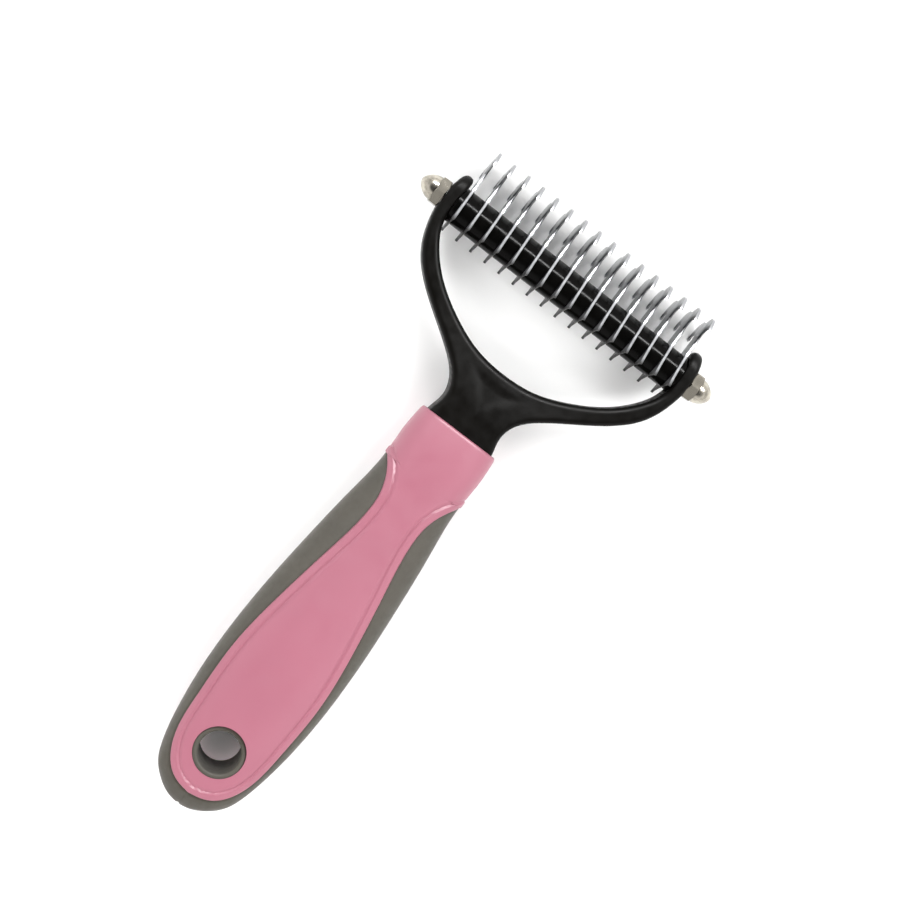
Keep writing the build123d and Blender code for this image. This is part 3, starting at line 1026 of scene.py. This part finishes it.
def hexagon(x, radius, angle):
    """Brings a corner radius in to the hexagon's flats, and to the chamfers at its two ends."""
    if radius < NUT_ACROSS_FLATS / sqrt(3) - 1e-6:
        return radius
    flat = NUT_ACROSS_FLATS / 2 / cos((angle + pi / 6) % (pi / 3) - pi / 6)
    from_end = min(abs(x) - NUT_SEAT_X, NUT_SEAT_X + NUT_HEX_HEIGHT - abs(x))
    return min(flat, NUT_ACROSS_FLATS / 2 + 0.02 + NUT_CHAMFER_SLOPE * from_end)


def build_nut(node, side, material):
    """A cap nut with a chamfered hexagon and a bullet-shaped dome."""
    piece = turned("nut_" + node, nut_profile(side), NUT_SIDES, sharp_angle=28, outline=hexagon)
    finish_piece(piece, node.replace("cap_nut", "nut"), "nickel", material, node)


# ------------------------------------------------------------------ studio
# Metres and watts
FLOOR_REACH = 3.0
FLOOR_GAP = 0.0002
LAMP_COUNT = 8
LAMP_TILT = radians(40)
LAMP_DISTANCE = 1.2
LAMP_SIZE = (0.35, 0.35)
LAMP_WATTS = 3.2
LAMP_UNEVENNESS = 0.12  # how much brighter the lamps on the bright side are than the average
BRIGHT_SIDE = radians(65)
STRIP_ANGLE = radians(38)
STRIP_DISTANCE = 0.75
STRIP_SIZE = (1.2, 0.09)
STRIP_WATTS = 22.0
RING_TOP = radians(32)
DARK_FROM = radians(54)
RING_COLOUR = (1.0, 0.995, 0.99)
RING_BRIGHTNESS = 1.2
OVERHEAD_BRIGHTNESS = 0.10
CAMERA_FROM_AXLE = Vector((-60.9, -45.8, 613)) * MM
AIM_FROM_AXLE = Vector((5.44, -54.6, 0)) * MM
PICTURE_TURN = 0.647
PICTURE_RIGHT = Vector((cos(PICTURE_TURN), sin(PICTURE_TURN), 0))
FIELD_OF_VIEW = radians(23.1)


def build_floor():
    """A plain pale surface under the comb."""
    mesh = bpy.data.meshes.new("floor")
    corners = [(FLOOR_REACH * u, FLOOR_REACH * v, 0) for u, v in ((-1, -1), (1, -1), (1, 1), (-1, 1))]
    mesh.from_pydata(corners, [], [(0, 1, 2, 3)])
    floor = bpy.data.objects.new("floor", mesh)
    bpy.context.scene.collection.objects.link(floor)
    floor.location.z = CAD_BOX[0].z - FLOOR_GAP
    mesh.materials.append(floor_surface())


def area_light(name, place, size, watts, target):
    """A rectangular soft light that faces its target."""
    light = bpy.data.lights.new(name, "AREA")
    light.shape = "RECTANGLE"
    light.size, light.size_y = size
    light.energy = watts
    lamp = bpy.data.objects.new(name, light)
    bpy.context.scene.collection.objects.link(lamp)
    lamp.location = place
    lamp.rotation_euler = (Vector(target) - Vector(place)).to_track_quat("-Z", "Y").to_euler()
    return lamp


def build_world():
    """A bright ring round the horizon that darkens towards the point overhead."""
    world = bpy.data.worlds.new("studio")
    bpy.context.scene.world = world
    world.use_nodes = True
    nodes, links = world.node_tree.nodes, world.node_tree.links
    direction = nodes.new("ShaderNodeTexCoord").outputs["Generated"]
    split = nodes.new("ShaderNodeSeparateXYZ")
    links.new(direction, split.inputs["Vector"])
    brightness = nodes.new("ShaderNodeMapRange")
    brightness.interpolation_type = "SMOOTHSTEP"
    brightness.inputs["From Min"].default_value = sin(RING_TOP)
    brightness.inputs["From Max"].default_value = sin(DARK_FROM)
    brightness.inputs["To Min"].default_value = RING_BRIGHTNESS
    brightness.inputs["To Max"].default_value = OVERHEAD_BRIGHTNESS
    links.new(split.outputs["Z"], brightness.inputs["Value"])
    background = nodes["Background"]
    background.inputs["Color"].default_value = (*RING_COLOUR, 1)
    links.new(brightness.outputs["Result"], background.inputs["Strength"])


def build_lights():
    """A ring of soft lamps above the comb, and a strip that shows only in reflections."""
    for number in range(LAMP_COUNT):
        around = 2 * pi * (number + 0.5) / LAMP_COUNT
        toward = Vector((sin(LAMP_TILT) * cos(around), sin(LAMP_TILT) * sin(around), cos(LAMP_TILT)))
        watts = LAMP_WATTS * (1 + LAMP_UNEVENNESS * cos(around - BRIGHT_SIDE))
        lamp = area_light(f"lamp_{number}", toward * LAMP_DISTANCE, LAMP_SIZE, watts, (0, 0, 0))
        lamp.visible_glossy = False
    strip_place = AXLE + Vector((0, sin(STRIP_ANGLE), cos(STRIP_ANGLE))) * STRIP_DISTANCE
    strip = area_light("strip", strip_place, STRIP_SIZE, STRIP_WATTS, AXLE)
    strip.visible_diffuse = False


def build_camera():
    """Looks down on the comb, which lies across the picture with its blades at the upper right."""
    data = bpy.data.cameras.new("camera")
    data.sensor_width = 36
    data.angle = FIELD_OF_VIEW
    camera = bpy.data.objects.new("camera", data)
    bpy.context.scene.collection.objects.link(camera)
    place = AXLE + CAMERA_FROM_AXLE
    backward = (place - (AXLE + AIM_FROM_AXLE)).normalized()
    right = (PICTURE_RIGHT - backward * PICTURE_RIGHT.dot(backward)).normalized()
    up = backward.cross(right)
    turn = Matrix((right, up, backward)).transposed()
    camera.matrix_world = Matrix.Translation(place) @ turn.to_4x4()
    bpy.context.scene.camera = camera
    bpy.context.scene.view_settings.view_transform = "Standard"


# ------------------------------------------------------------------ the comb
def main():
    rubber = soft_rubber()
    black = spacer_plastic()
    plate = nickel()
    core, grip = build_handle()
    reach = 2 * EYELET_RADIUS
    hole = cylinder("hole_cut", EYELET_RADIUS - 0.05, -reach, reach, axis="Z", centre=(0, HOLE_Y))
    cut(core, hole)
    finish_piece(core, HANDLE, "pink_plastic", pink_plastic(), "handle_core")
    finish_piece(grip, HANDLE, "soft_rubber", rubber, "soft_grip")
    finish_piece(build_eyelet(), HANDLE, "soft_rubber", rubber, "hang_eyelet")
    finish_piece(build_yoke(), HANDLE, "yoke_plastic", yoke_plastic(), "yoke")
    build_blades(blade_steel(), shaded_ground_edge())
    for node in sorted(frame["nodes"]):
        if node.startswith("spacer_"):
            build_tube(node, node.replace("spacer", "black_spacer"), black)
        elif node.startswith("end_collar_"):
            build_tube(node, node.replace("end_collar", "black_collar"), black)
    build_nut("cap_nut_left", -1, plate)
    build_nut("cap_nut_right", 1, plate)
    rod = frame["nodes"]["axle_rod"]
    for entry in rod.material_slots:
        entry.material = axle_steel()
    build_floor()
    build_world()
    build_lights()
    build_camera()


main()
